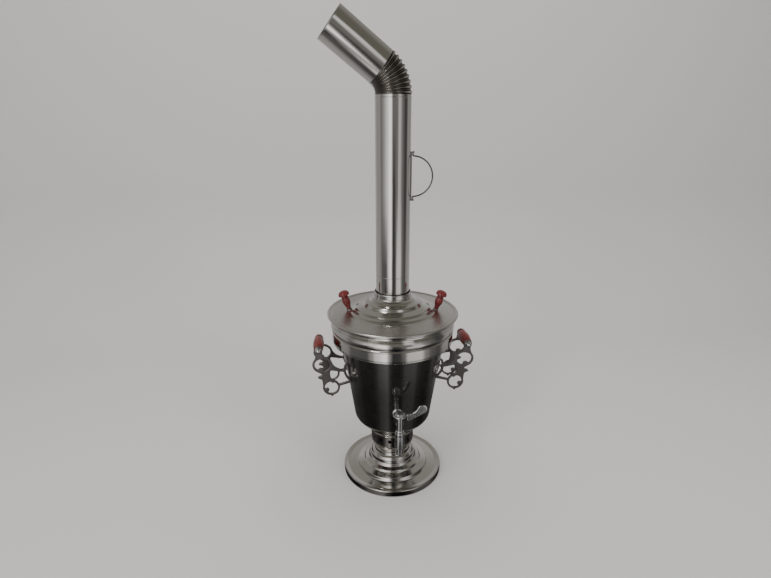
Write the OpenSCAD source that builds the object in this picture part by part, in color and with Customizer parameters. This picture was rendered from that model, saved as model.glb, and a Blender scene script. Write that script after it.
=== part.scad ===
// Charcoal samovar: a black tank on a spun steel foot, with a stepped lid, a stove pipe and a
// crimped elbow up its middle, a lever tap in front and a scrolled handle on each side.
// Millimetres, +Z up. The origin is the middle of the foot, on the table. The tap faces -Y.

/* [Foot] */
// Radius of the foot's rim
foot_r = 114.4; // [100:1:130]
// Height of the foot, from the table to the seat of the air ring
foot_h = 62; // [50:1:80]
// Radius of the foot's neck, where the air ring sits
foot_neck_r = 37; // [34:0.5:39]
// Width of the flat hem that the foot stands on
foot_hem_w = 7; // [4:0.5:12]
// Thickness of the spun steel sheet
sheet = 1.4; // [1:0.1:2]

/* [Air ring and fire] */
// Height of the air ring
ring_h = 68; // [62:1:74]
// Radius of the air ring at its holes
ring_r = 49; // [47:0.5:51]
// Radius of the air ring's flared top, under the tank
ring_top_r = 58; // [55:0.5:61]
// Number of air holes around the ring
air_holes = 14; // [8:2:16]
// Diameter of an air hole
air_hole_d = 8.6; // [6:0.2:10]
// Height of the air holes above the ring's lower edge
air_hole_z = 34.5; // [28:0.5:38]
// Outer radius of the fire pot, the wide lower end of the flue
fire_pot_r = 44; // [42:0.5:45]
// Thickness of the fire grate
grate_t = 3; // [2:0.5:5]
// Diameter of a hole in the fire grate
grate_hole_d = 6; // [4:0.5:7]

/* [Tank] */
// Outer radius of the tank at its top edge
tank_top_r = 111.7; // [108:0.5:116]
// Height of the tank, from the air ring to its top edge
tank_h = 204; // [180:1:230]
// Inward lean of the tank's wall, in degrees from upright
tank_lean = 8.1; // [6:0.1:9]
// Height of the rounded turn between the tank's wall and its floor
tank_turn_h = 24; // [20:1:34]
// Thickness of the tank's wall
tank_wall = 1.6; // [1.2:0.1:2.5]

/* [Shoulder band] */
// Outer radius of the band below the lid
band_r = 131; // [126:0.5:134]
// Height of the band, up to the middle of its rolled rim
band_h = 57; // [48:1:60]
// Radius of the rolled wire rim
rim_bead_r = 3.4; // [2.5:0.1:4]
// How far the belt stands out of the band
belt_out = 3.4; // [1:0.1:4]

/* [Lid] */
// How far the lid's brim stands out past the band
brim_over = 9.8; // [8:0.2:14]
// Height of the lid, from its brim to the top of its collar
lid_h = 46; // [40:1:54]
// Clearance around the pipe in the lid's collar
lid_hole_gap = 2.4; // [1.2:0.1:2.6]
// Distance of the lid knobs from the middle
knob_reach = 94; // [90:1:100]
// Height of a lid knob along its own axis
knob_h = 42; // [34:1:46]
// Diameter of a lid knob's cap
knob_cap_d = 24; // [20:0.5:27]
// Outward lean of a lid knob, in degrees
knob_lean = 18; // [10:1:26]
// Turn of the lid on the samovar, in degrees
lid_turn = -5.7; // [-45:0.1:45]
// Diameter of the two steam holes in the lid
steam_hole_d = 6; // [4:0.5:7]
// Distance of the steam holes from the middle
steam_hole_reach = 75.5; // [72:0.5:77]

/* [Stove pipe] */
// Outer diameter of the stove pipe
pipe_d = 70; // [66:0.5:72]
// Thickness of the pipe's sheet
pipe_wall = 1; // [0.8:0.1:1.4]
// Length of the straight lower pipe
pipe_len = 382; // [340:1:420]
// Depth of the socket in which the pipe sits on the flue
socket_h = 34; // [26:1:40]
// Running clearance of the pipe's sliding joints, on the radius
slip_gap = 0.08; // [0.05:0.01:0.1]
// Number of pleats in the elbow
pleats = 9; // [7:1:10]
// Bend of the elbow, in degrees
elbow_bend = 53; // [30:0.5:60]
// Radius of the elbow's bend, to the middle of the pipe
elbow_r = 60.5; // [56:0.5:84]
// Depth of a pleat
pleat_depth = 3; // [1.5:0.1:3.4]
// Turn of the elbow in the pipe, in degrees
elbow_turn = 7.3; // [-180:0.1:180]
// Length of the upper pipe
upper_len = 116; // [100:1:160]

/* [Pipe bail] */
// Height of the bail's middle above the pipe's lower end
bail_z = 236; // [230:1:260]
// Height of the bail between its two ends
bail_h = 84; // [70:1:96]
// Diameter of the bail wire
bail_wire_d = 3; // [2.4:0.1:3.6]
// Width of the strap that carries the bail
strap_w = 11; // [9:0.5:14]

/* [Tap] */
// Height of the tap's shank above the table
tap_z = 201; // [190:1:210]
// Distance of the tap's upright axis from the middle of the samovar
tap_reach = 133; // [128:1:140]
// Diameter of the tap's threaded shank
shank_d = 12; // [10:0.5:14]
// Outer diameter of the tap's upright tube
tap_tube_d = 14.4; // [13:0.2:16]
// Diameter of the turning plug inside the tap
plug_d = 9; // [8:0.2:10]
// Diameter of the tap's water way
water_way_d = 5; // [4:0.2:6]
// Diameter of the spout's sleeve
spout_d = 19.4; // [17:0.2:22]
// Length of the spout's sleeve
spout_len = 54; // [45:1:60]
// Drop from the shank's axis to the lower end of the tap's body
stem_drop = 19; // [17:0.5:24]
// Length of the lever, from the plug's axis
lever_len = 56; // [45:1:60]
// Rise of the lever, in degrees
lever_rise = 21; // [10:1:30]

/* [Side handles] */
// Distance between the middles of a handle's two arms
arm_gap = 64; // [56:1:70]
// Thickness of an arm
arm_t = 5; // [4:0.5:6]
// Width of the arm's scrolled bars
bar_w = 5; // [4:0.1:5.6]
// Distance of the grip from the middle of the samovar
grip_reach = 162; // [158:1:166]
// Height of the grip's axis above the table
grip_z = 326; // [323:1:329]
// Largest diameter of the grip
grip_d = 24; // [21:0.5:26]
// Diameter of the rod through the grip
rod_d = 6; // [5:0.2:7]
// Height of the middle of the back plate above the table
plate_z = 283; // [278:1:288]
// Width of the back plate around the tank
plate_w = 132; // [110:1:136]
// Height of the back plate
plate_h = 26; // [22:1:30]
// Thickness of the back plate
plate_t = 2; // [1.5:0.1:3]

/* [Hidden] */
$fn = 96;
tank_z = foot_h + ring_h;                    // underside of the tank
tank_top = tank_z + tank_h;                  // top edge of the tank
rim_z = tank_top + band_h;                   // middle of the rolled rim
brim_z = rim_z + rim_bead_r + 3.6;           // height of the lid's brim
lid_r = band_r + brim_over;
pipe_r = pipe_d / 2;
pipe_z = brim_z + lid_h + 1;                 // lower end of the stove pipe
pipe_top = pipe_z + pipe_len;
flue_r = pipe_r - pipe_wall - slip_gap;      // flue's outer radius in the pipe's socket
flue_top = pipe_z + socket_h;
lid_hole_r = pipe_r + lid_hole_gap;
tap_wall_r = tank_radius(tap_z);             // tank's radius where the tap goes through
flange_z = tap_z + 16.6;                       // underside of the tap's upper flange
grip_len = arm_gap - arm_t;

steel = [0.74, 0.73, 0.71];
black = [0.09, 0.08, 0.07];
dark_iron = [0.30, 0.27, 0.26];
red = [0.62, 0.16, 0.14];
rubber = [0.16, 0.15, 0.15];

// ---- outlines ---------------------------------------------------------------------------

// Outer radius of the tank's leaning wall at height z.
function tank_radius(z) = tank_top_r - (tank_top - z) * tan(tank_lean);

// Points on a smooth S-shaped step from a to b.
function ogee(a, b, n = 8) =
    [for (i = [0:n]) let (t = i / n) [a[0] + (b[0] - a[0]) * t,
                                      a[1] + (b[1] - a[1]) * t * t * (3 - 2 * t)]];

// Points on an arc about c, from angle a0 to a1.
function arc(c, r, a0, a1, n = 10) =
    [for (i = [0:n]) let (a = a0 + (a1 - a0) * i / n) c + r * [cos(a), sin(a)]];

// Points on a curve from a to d that leaves along ab and arrives along cd.
function curve(a, b, c, d, n = 14) =
    [for (i = [0:n]) let (t = i / n, s = 1 - t)
        s*s*s*a + 3*s*s*t*b + 3*s*t*t*c + t*t*t*d];

// The path moved sideways by w, to the left of its direction.
function beside(path, w) =
    [for (i = [0:len(path) - 1])
        let (d = path[min(i + 1, len(path) - 1)] - path[max(i - 1, 0)],
             step = is_list(w) ? w[0] + (w[1] - w[0]) * i / (len(path) - 1) : w)
        path[i] + step * [-d[1], d[0]] / norm(d)];

function backwards(path) = [for (i = [len(path) - 1:-1:0]) path[i]];

// A sheet of thickness t spun about Z. The path is its outer face, from outside to inside.
module spun_sheet(path, t) {
    rotate_extrude() polygon(concat(path, backwards(beside(path, t))));
}

// A flat bar along a path, w0 wide at its start and w1 wide at its end.
module bar(path, w0, w1) {
    polygon(concat(beside(path, [-w0 / 2, -w1 / 2]),
                   backwards(beside(path, [w0 / 2, w1 / 2]))));
}

module tube(r_out, r_in, h) {
    difference() {
        cylinder(r = r_out, h = h);
        translate([0, 0, -1]) cylinder(r = r_in, h = h + 2);
    }
}

// Solid inside of the tank's leaning wall, grown by out.
module tank_cone(out) {
    low = tank_z + tank_turn_h - 5;
    translate([0, 0, low])
        cylinder(r1 = tank_radius(low) + out, r2 = tank_top_r + out, h = tank_top - low);
}

// ---- foot, air ring and fire --------------------------------------------------------------

module base_plate() {
    r = foot_r;
    n = foot_neck_r;
    h = foot_h;
    path = concat(
        [[r - foot_hem_w, 0], [r, 0], [r, 9]],
        arc([r - 3, 12], 3, 0, 110, 6),
        [[r - 9, 13.6], [r - 12, 13.2], [r - 29, 14.4]],
        ogee([r - 31, 14.6], [r - 35, 22], 6),
        [[r - 45, 24.6]],
        ogee([r - 47, 25.2], [r - 52, 30], 6),
        ogee([r - 58, 33], [r - 63, 39.5], 6),
        ogee([n + 13, 44], [n + 8, 50.5], 6),
        ogee([n + 5, 53], [n + 2.5, h - 3.5], 5),
        [[n, h - 1.5], [n - 1, h], [n - 8, h]]);
    color(steel) spun_sheet(path, sheet);
}

function ring_path() = let (z = foot_h, n = foot_neck_r, top = foot_h + ring_h)
    concat(curve([n - 8, z], [n + 4, z], [ring_r, z + 4], [ring_r, z + 24], 16),
           curve([ring_r, top - 25], [ring_r + 0.2, top - 16], [ring_top_r - 3, top - 15],
                 [ring_top_r - 0.6, top - 11.5], 10),
           [[ring_top_r, top - 10], [ring_top_r, top]]);

module air_ring() {
    color(steel) difference() {
        spun_sheet(ring_path(), sheet);
        for (i = [0:air_holes - 1])
            rotate([0, 0, (i + 0.5) * 360 / air_holes - 90])
                translate([foot_neck_r - 12, 0, foot_h + air_hole_z])
                    rotate([0, 90, 0]) cylinder(d = air_hole_d, h = ring_r);
    }
}

// The grate lies on a step in the fire pot's lower end.
module fire_grate() {
    pitch = grate_hole_d * 1.9;
    color(dark_iron) translate([0, 0, tank_z + 2]) difference() {
        cylinder(r = fire_pot_r - tank_wall - 0.3, h = grate_t);
        translate([0, 0, -1]) cylinder(d = grate_hole_d, h = grate_t + 2);
        for (row = [1:3]) for (i = [0:row * 6 - 1])
            rotate([0, 0, i * 60 / row]) translate([row * pitch, 0, -1])
                cylinder(d = grate_hole_d, h = grate_t + 2);
    }
}

// Flue: a wide fire pot in the tank, drawn in to the pipe's socket above the lid.
module fire_tube() {
    t = tank_wall;
    path = concat(
        [[fire_pot_r - 6, tank_z], [fire_pot_r, tank_z], [fire_pot_r, tank_z + 90]],
        ogee([fire_pot_r, tank_z + 96], [flue_r, tank_z + 150], 10),
        [[flue_r, tank_z + 156], [flue_r, flue_top]]);
    outer = concat([[path[1][0], path[1][1]]], [for (i = [2:len(path) - 1]) path[i]]);
    inner = [for (p = outer) [p[0] - t, p[1]]];
    color(steel) rotate_extrude() polygon(concat(
        outer, backwards([for (i = [1:len(inner) - 1]) inner[i]]),
        [[fire_pot_r - t, tank_z + 2], [fire_pot_r - 7, tank_z + 2], [fire_pot_r - 7, tank_z]]));
}

// ---- tank -----------------------------------------------------------------------------------

seam_z = tank_z + tank_turn_h + 3;           // seam between the tank's floor and its wall

// Outer face of the tank's floor, from the fire pot round the turn to the seam.
function floor_path() =
    let (turn_r = tank_radius(tank_z + tank_turn_h), z = tank_z, h = tank_turn_h)
    concat([[fire_pot_r, z], [ring_top_r + 1, z]],
           curve([ring_top_r + 3, z], [turn_r - 16, z + 3], [turn_r - 2.5, z + h * 0.5],
                 [turn_r, z + h], 14),
           [[tank_radius(seam_z), seam_z]]);

// Outer face of the tank's wall, from the seam to the top edge.
function tank_path() =
    concat([[tank_radius(seam_z), seam_z], [tank_radius(tank_top - 4.5), tank_top - 4.5]],
           arc([tank_top_r - 0.4, tank_top - 2], 1.6, -70, 70, 6),
           [[tank_top_r - 0.2, tank_top]]);

// Dished floor, joined flush to the wall.
module tank_floor() {
    color(black) spun_sheet(floor_path(), tank_wall);
}

module tank_shell() {
    color(black) difference() {
        spun_sheet(tank_path(), tank_wall);
        at_rivets() cylinder(d = rivet_d, h = 20, center = true);
        translate([0, 0, tap_z]) rotate([90, 0, 0])
            cylinder(d = shank_d, h = tank_top_r + 10);
    }
}

// Polished band above the tank: a flange, a plain skirt, a belt and a rolled wire rim.
module shoulder_band() {
    r = band_r;
    z = tank_top;
    path = concat(
        [[tank_top_r - 8, z], [r - 4, z]],
        arc([r - 2, z + 1.6], 1.6, -80, 20, 5),
        [[r, z + 6], [r + 0.2, z + band_h * 0.39]],
        arc([r - 0.9, z + band_h * 0.435], 1.4, -40, 60, 4),
        [[r - 1.2, z + band_h * 0.47]],
        [for (i = [1:9]) let (a = i * 18)
            [r - 1.2 + belt_out * sin(a), z + band_h * (0.47 + 0.32 * i / 10)]],
        ogee([r - 1.4, z + band_h * 0.795], [r - 4.6, z + band_h * 0.86], 4),
        [[r - 4.8, z + band_h * 0.9], [r - 1.5, rim_z - rim_bead_r + 0.6]]);
    color(steel) {
        rotate_extrude() union() {
            polygon(concat(path, backwards(beside(path, sheet))));
            translate([r - 0.2, rim_z]) circle(r = rim_bead_r, $fn = 32);
        }
    }
}

// ---- lid ------------------------------------------------------------------------------------

// Outer face of the collar round the pipe, from its top edge to its seam with the lid.
function collar_path() = let (z = brim_z, c = lid_hole_r)
    concat([[c, z + lid_h], [c + 1.4, z + lid_h], [c + 2, z + lid_h - 2]],
           ogee([c + 2.2, z + 37], [c + 4.5, z + 33], 4),
           [[c + 5.15, z + 32.7]]);

// Outer face of the lid, from that seam down the steps to the rolled edge of the brim.
function lid_path() = let (z = brim_z, c = lid_hole_r, s = c - 1.2, r = lid_r)
    concat([[c + 5.15, z + 32.7], [c + 5.8, z + 32.4]],
           ogee([s + 8, z + 32], [s + 14, z + 27], 5),
           [[s + 20, z + 26]],
           ogee([s + 23, z + 25.4], [s + 29, z + 17.5], 6),
           [[s + 36, z + 15.6]],
           ogee([s + 41, z + 14.2], [s + 47, z + 9], 5),
           ogee([s + 50, z + 7.6], [s + 57, z + 3.2], 6),
           [[brim_in, brim_at(brim_in)], [r - 13, brim_at(r - 13)], [r - 10.5, z - 0.2]],
           curve([r - 10, z - 0.1], [r - 8, z + 2.2], [r - 0.2, z + 2.4], [r, z - 2], 10),
           [[r - 0.5, z - 3]]);

brim_in = lid_hole_r + 60.8;                 // inner radius of the brim's even slope

// Height of the brim's upper face at radius x.
function brim_at(x) = brim_z + 2.4 - 2.1 * (x - brim_in) / (lid_r - 13 - brim_in);

module lid() {
    color(steel) difference() {
        spun_sheet(lid_path(), -sheet);
        for (side = [-1, 1]) {
            on_knob(side) translate([0, 0, -20]) cylinder(d = 3.2, h = 24);
            rotate([0, 0, lid_turn]) translate([side * steam_hole_reach, 0, brim_z])
                cylinder(d = steam_hole_d, h = lid_h);
        }
    }
}

// Turned collar ring, joined to the lid's upper edge.
module lid_collar() {
    k = sheet / norm([0.65, 0.3]);           // the seam is square to the lid's slope
    low = brim_z + 32.7 - 0.65 * k;
    color(steel) rotate_extrude() polygon(backwards(concat(collar_path(),
        [[lid_hole_r + 5.15 - 0.3 * k, low], [lid_hole_r, low]])));
}

// Ring under the lid that keeps it in the middle of the band's mouth and rests on the rim.
module lid_inner_ring() {
    seat = rim_z + rim_bead_r;
    r = band_r - rim_bead_r - 2.6;
    under = sheet + 0.04;
    color(steel) rotate_extrude() polygon([
        [r - 3, brim_at(r - 3) - under], [r - 3, seat - 14], [r - 1.6, seat - 14],
        [r - 1.6, seat], [band_r + 2, seat], [band_r + 2, seat + 0.9],
        [r + 1.4, seat + 1.2], [r + 1.4, brim_at(r + 1.4) - under]]);
}

module place_knob(side) {
    rotate([0, 0, lid_turn]) translate([side * knob_reach, 0, brim_z]) children();
}

knob_base = 5;                               // middle of a knob's base above the brim

// Frame of a knob: its base is at the origin, and it leans outward.
module on_knob(side) {
    place_knob(side) translate([0, 0, knob_base]) rotate([0, side * knob_lean, 0]) children();
}

// Turned mushroom knob.
module lid_knob(side) {
    r = knob_cap_d / 2;
    h = knob_h;
    color(red) on_knob(side) difference() {
        rotate_extrude() polygon(concat(
            [[0, 0], [3.8, 0]],
            curve([4.6, 1.2], [4.8, 7], [8.2, 11], [8.6, h * 0.42], 8),
            curve([8.6, h * 0.44], [8.6, h * 0.52], [7.4, h * 0.57], [7.2, h * 0.62], 5),
            [[7.9, h * 0.645], [7.2, h * 0.67]],
            curve([7, h * 0.69], [7, h * 0.75], [r - 2, h * 0.72], [r, h * 0.765], 6),
            curve([r, h * 0.775], [r + 0.2, h * 0.93], [r - 5, h], [0, h], 10)));
        translate([0, 0, -1]) cylinder(d = 3, h = 15);
    }
}

// Wedge-shaped seat, shaped to the lid below and square to the knob above.
module knob_seat(side) {
    color(dark_iron) difference() {
        on_knob(side) translate([0, 0, -16]) cylinder(r = 5.2, h = 16);
        translate([0, 0, 0.04]) rotate_extrude() polygon(concat(lid_path(),
            [[lid_r, brim_z - 30], [0, brim_z - 30], [0, brim_z + lid_h]]));
        on_knob(side) translate([0, 0, -20]) cylinder(d = 3, h = 24);
    }
}

// One screw for each knob, from under the brim through the seat.
module knob_screws() {
    drop = (knob_base - 3.2 + sheet) / cos(knob_lean) + 1.4 * tan(knob_lean);
    color(steel) for (side = [-1, 1]) on_knob(side) translate([0, 0, -drop])
        rotate_extrude() polygon([[0, -2], [2, -2], [3, -1], [3, 0], [1.46, 0],
                                  [1.46, drop + 12], [0, drop + 12]]);
}

// ---- stove pipe -------------------------------------------------------------------------------

// A swaged groove, a bead on the inside, stops the pipe on the flue's top edge.
module chimney_pipe() {
    color(steel) rotate_extrude() union() {
        difference() {
            translate([pipe_r - pipe_wall, pipe_z]) square([pipe_wall, pipe_len]);
            translate([pipe_r + 0.35, flue_top + 0.95]) circle(r = 0.8, $fn = 24);
        }
        translate([pipe_r, pipe_z + 2]) circle(r = 0.6, $fn = 24);
        translate([pipe_r - pipe_wall, flue_top + 0.95]) circle(r = 0.9, $fn = 24);
        translate([pipe_r, pipe_top - 2]) circle(r = 0.6, $fn = 24);
    }
}

module at_bail() {
    rotate([0, 0, lid_turn]) translate([0, 0, pipe_z + bail_z]) children();
}

ear_x = pipe_r + 4;                          // axis of the bail's ends
ear_t = 2;                                   // thickness of the strap and its ears

// Strap on the pipe, with an ear at each end for the bail's wire.
module bail_strap() {
    tall = bail_h + 10;
    color(dark_iron) at_bail() difference() {
        intersection() {
            translate([pipe_r - 6, -strap_w / 2, -tall / 2])
                cube([ear_x + 3.8 - pipe_r + 6, strap_w, tall]);
            difference() {
                union() {
                    translate([0, 0, -tall / 2]) cylinder(r = pipe_r + ear_t, h = tall);
                    for (s = [-1, 1]) translate([ear_x, 0, s * (tall - ear_t) / 2 - ear_t / 2]) {
                        cylinder(r = 3.6, h = ear_t);
                        translate([-7, -3.6, 0]) cube([7, 7.2, ear_t]);
                    }
                }
                translate([0, 0, -tall]) cylinder(r = pipe_r, h = 2 * tall);
            }
        }
        for (s = [-1, 1]) translate([ear_x, 0, s * (tall - ear_t) / 2 - 3])
            cylinder(d = bail_wire_d + 0.16, h = 6);
    }
}

// Half-round wire bail, its two ends turned into the ears.
module bail_wire() {
    tall = bail_h + 10;
    r = bail_wire_d / 2;
    bow = (bail_h - 6) / 2;
    color(dark_iron) at_bail() translate([ear_x, 0, 0]) {
        for (s = [-1, 1]) translate([0, 0, s > 0 ? bow : -tall / 2 - 1])
            cylinder(r = r, h = tall / 2 + 1 - bow);
        translate([0, 0, 0]) rotate([90, 0, 0])
            rotate([0, 0, -90]) rotate_extrude(angle = 180)
                translate([bow, 0]) circle(r = r, $fn = 24);
    }
}

// Elbow frame: the bend's middle lies at -X, and the bend starts straight up.
module at_elbow() {
    rotate([0, 0, elbow_turn]) translate([0, 0, pipe_top + 3]) children();
}

// Plain neck of the elbow, which sits in the pipe's top.
module elbow_neck() {
    r = pipe_r - pipe_wall - slip_gap;
    color(steel) at_elbow() rotate_extrude() union() {
        translate([r - pipe_wall, -27]) square([pipe_wall, 27]);
        translate([r - 0.4, -2.9]) square([pipe_wall + 0.4 + slip_gap, 1.2]);
    }
}

elbow_sides = 44;
elbow_rings = pleats * 4;

// Radius of the pleated wall at ring i, grown by out. The last ring meets the upper pipe.
function pleat_r(i, out) = pipe_r + out - (i == elbow_rings ? 0 : pleat_depth / 2 * cos(i * 90));

function elbow_ring(i, out) = let (b = elbow_bend * i / elbow_rings)
    [for (k = [0:elbow_sides - 1])
        let (a = k * 360 / elbow_sides, r = pleat_r(i, out), x = r * cos(a))
        [-elbow_r + (elbow_r + x) * cos(b), r * sin(a), (elbow_r + x) * sin(b)]];

// Crimped elbow: a thin wall whose pleats fan out from the inside of the bend.
module elbow() {
    n = elbow_sides;
    m = elbow_rings;
    points = concat([for (i = [0:m]) each elbow_ring(i, 0)],
                    [for (i = [0:m]) each elbow_ring(i, -pipe_wall)]);
    inner = (m + 1) * n;
    faces = concat(
        [for (i = [0:m - 1]) for (k = [0:n - 1]) let (q = (k + 1) % n)
            each [[i*n + k, (i + 1)*n + k, (i + 1)*n + q], [i*n + k, (i + 1)*n + q, i*n + q]]],
        [for (i = [0:m - 1]) for (k = [0:n - 1]) let (q = (k + 1) % n)
            each [[inner + i*n + k, inner + (i + 1)*n + q, inner + (i + 1)*n + k],
                  [inner + i*n + k, inner + i*n + q, inner + (i + 1)*n + q]]],
        [for (k = [0:n - 1]) let (q = (k + 1) % n)
            each [[k, q, inner + q], [k, inner + q, inner + k]]],
        [for (k = [0:n - 1]) let (q = (k + 1) % n)
            each [[m*n + k, inner + m*n + q, m*n + q],
                  [m*n + k, inner + m*n + k, inner + m*n + q]]]);
    color(steel) at_elbow() polyhedron(points, faces, convexity = 10);
}

module upper_pipe() {
    color(steel) at_elbow() translate([-elbow_r, 0, 0]) rotate([0, -elbow_bend, 0])
        translate([elbow_r, 0, 0]) rotate_extrude() union() {
            translate([pipe_r - pipe_wall, 0]) square([pipe_wall, upper_len]);
            translate([pipe_r, upper_len - 1]) circle(r = 0.6, $fn = 24);
        }
}

// ---- tap ----------------------------------------------------------------------------------------

// Frame of the tap's shank: +Z runs outward through the tank's wall.
module on_shank(out) {
    translate([0, -out, tap_z]) rotate([90, 0, 0]) children();
}

module tap_shank() {
    inside = tap_wall_r - 22;
    color(steel) on_shank(inside) tube(shank_d / 2, water_way_d / 2,
                                       tap_reach - tap_tube_d / 2 + 1.5 - inside);
}

module seat_on_tank() {
    difference() {
        children();
        tank_cone(0);
    }
}

module tap_flange() {
    color(steel) seat_on_tank() on_shank(tap_wall_r - 3) rotate_extrude() polygon(concat(
        [[shank_d / 2, 0], [11, 0], [11, 4.6]], arc([9.5, 4.8], 1.5, 0, 90, 5),
        [[8.6, 6.8], [7.8, 8.6], [shank_d / 2, 8.6]]));
}

module tap_gasket() {
    color(rubber) intersection() {
        on_shank(tap_wall_r - 12) tube(11, shank_d / 2, 14);
        difference() {
            tank_cone(-tank_wall / cos(tank_lean) - 0.02);
            translate([-40, 6 - tap_wall_r, tap_z - 30]) cube([80, 200, 60]);
        }
    }
}

module tap_lock_nut() {
    color(steel) on_shank(tap_wall_r - 13) difference() {
        cylinder(d = 21, h = 7, $fn = 6);
        translate([0, 0, -1]) cylinder(d = shank_d, h = 9);
    }
}

// Upright tap body: a tube bored for the plug, with a boss for the shank and a top flange.
module tap_body() {
    low = tap_z - stem_drop;
    color(steel) translate([0, -tap_reach, 0]) difference() {
        union() {
            translate([0, 0, low]) cylinder(d = tap_tube_d, h = flange_z - low);
            translate([0, 0, flange_z]) cylinder(r = 11, h = 2);
            translate([0, 0, low]) rotate_extrude()
                polygon([[0, 0], [8.4, 0], [8.4, 3], [7, 5], [0, 5]]);
            translate([0, 0, tap_z]) rotate([-90, 0, 0]) cylinder(r = 8.4, h = tap_tube_d / 2 + 2.6);
        }
        translate([0, 0, tap_z - 8]) cylinder(d = plug_d + 0.19, h = 60);
        translate([0, 0, low - 1]) cylinder(d = water_way_d, h = 30);
        translate([0, 0, tap_z]) rotate([-90, 0, 0]) cylinder(d = water_way_d, h = 30);
        translate([0, tap_tube_d / 2 - 1.5, tap_z]) rotate([-90, 0, 0]) cylinder(d = shank_d, h = 30);
    }
}

// Plug with an angled water way: its side port faces away from the lever.
module tap_plug() {
    color(steel) translate([0, -tap_reach, 0]) difference() {
        translate([0, 0, tap_z - 8]) cylinder(d = plug_d, h = hub_z + hub_h + cap_h - tap_z + 6.6);
        translate([0, 0, tap_z - 9]) cylinder(d = water_way_d, h = 9);
        translate([0, 0, tap_z]) rotate([0, -90, 0]) cylinder(d = water_way_d, h = 20);
    }
}

hub_z = flange_z + 2.3;                      // underside of the lever's hub
hub_h = 3;
cap_h = 5;                                   // height of the nut on the lever's hub

// Lever: a round hub on the plug and a rising blade with a broad rounded end.
module tap_lever() {
    color(steel) translate([0, -tap_reach, 0]) {
        difference() {
            union() {
                translate([0, 0, hub_z]) rotate_extrude() polygon(concat(
                    [[0, 0]], arc([13.2, 1.1], 1.1, -90, 0, 4),
                    arc([13.2, hub_h - 1.1], 1.1, 0, 90, 4), [[0, hub_h]]));
                translate([0, 2.6, hub_z + hub_h / 2]) rotate([90, 0, 0])
                    linear_extrude(5.2) lever_blade();
            }
            translate([0, 0, hub_z - 5]) cylinder(d = plug_d, h = 30);
        }
    }
}

// Side view of the lever from its hub: a deep blade that sweeps up to a round paddle.
module lever_blade() {
    tip = [lever_len - 9, (lever_len - 9) * tan(lever_rise) - 6.6];
    polygon(concat(
        [[9, 1.2]],
        curve([14, 1.4], [24, 2.2], tip + [-16, -7], tip + [-12, 0], 10),
        curve(tip + [-10, 3.6], tip + [-8.6, 8.6], tip + [-3, 10], tip + [2, 8.8], 8),
        arc(tip, 9, 72, -48, 12),
        curve(tip + [2, -9.4], tip + [-8, -15], [30, -8.4], [17.6, -14], 10),
        [[15.6, -13.4], [15, -1.2], [9, -1.2]]));
}

module tap_cap_nut() {
    z = hub_z + hub_h;
    color(steel) translate([0, -tap_reach, z]) difference() {
        intersection() {
            cylinder(d = 20, h = cap_h, $fn = 6);
            rotate_extrude() polygon(concat([[0, 0], [10.1, 0]],
                curve([10.1, 1.5], [9.4, cap_h - 0.9], [6, cap_h], [0, cap_h], 8)));
        }
        translate([0, 0, -1]) cylinder(d = plug_d, h = 1 + cap_h - 1.4);
    }
}

// Barrel-shaped sleeve with a shoulder and a narrower tip.
module spout_sleeve() {
    l = spout_len;
    r = spout_d / 2;
    tip = r - 2.7;
    color(steel) translate([0, -tap_reach, tap_z - stem_drop - l]) rotate_extrude() polygon(concat(
        [[5.2, 0]], arc([tip - 0.8, 0.8], 0.8, -90, 0, 4),
        curve([tip + 0.1, 13], [tip + 0.2, 17], [r - 0.1, 16], [r, 19.6], 7),
        curve([r + 0.1, 22], [r + 0.4, 30], [r + 0.2, l - 16], [r - 0.3, l - 8], 6),
        [[r, l - 5]],
        arc([r - 2, l - 2], 2, 0, 90, 5),
        [[3, l], [3, l - 8], [5.2, l - 12]]));
}

// ---- side handles -----------------------------------------------------------------------------

// The arm lies in an upright plane. These are its points, as distance from the samovar's
// middle and height.
ring1 = [grip_reach - 7.2, grip_z - 34.5];     // upper loop
ring1_w = 43;
eye_r = 9;                                   // eye round the grip's rod
ring1_h = 39;
ring2 = [grip_reach - 24.6, grip_z - 89.6];  // lower loop
ring2_r = 18.6;
foot_up = [tank_x(plate_z + 9), plate_z + 9];
foot_low = [tank_x(plate_z - 34), plate_z - 34];
fork = [tank_x(plate_z - 7) + 9, plate_z - 7];

// How far the tank's wall stands out at height z, in the plane of an arm.
function tank_x(z) = sqrt(pow(tank_radius(z), 2) - pow(arm_gap / 2, 2));

function oval(c, w, h, n = 48) =
    [for (i = [0:n - 1]) c + [w / 2 * cos(i * 360 / n), h / 2 * sin(i * 360 / n)]];

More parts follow.
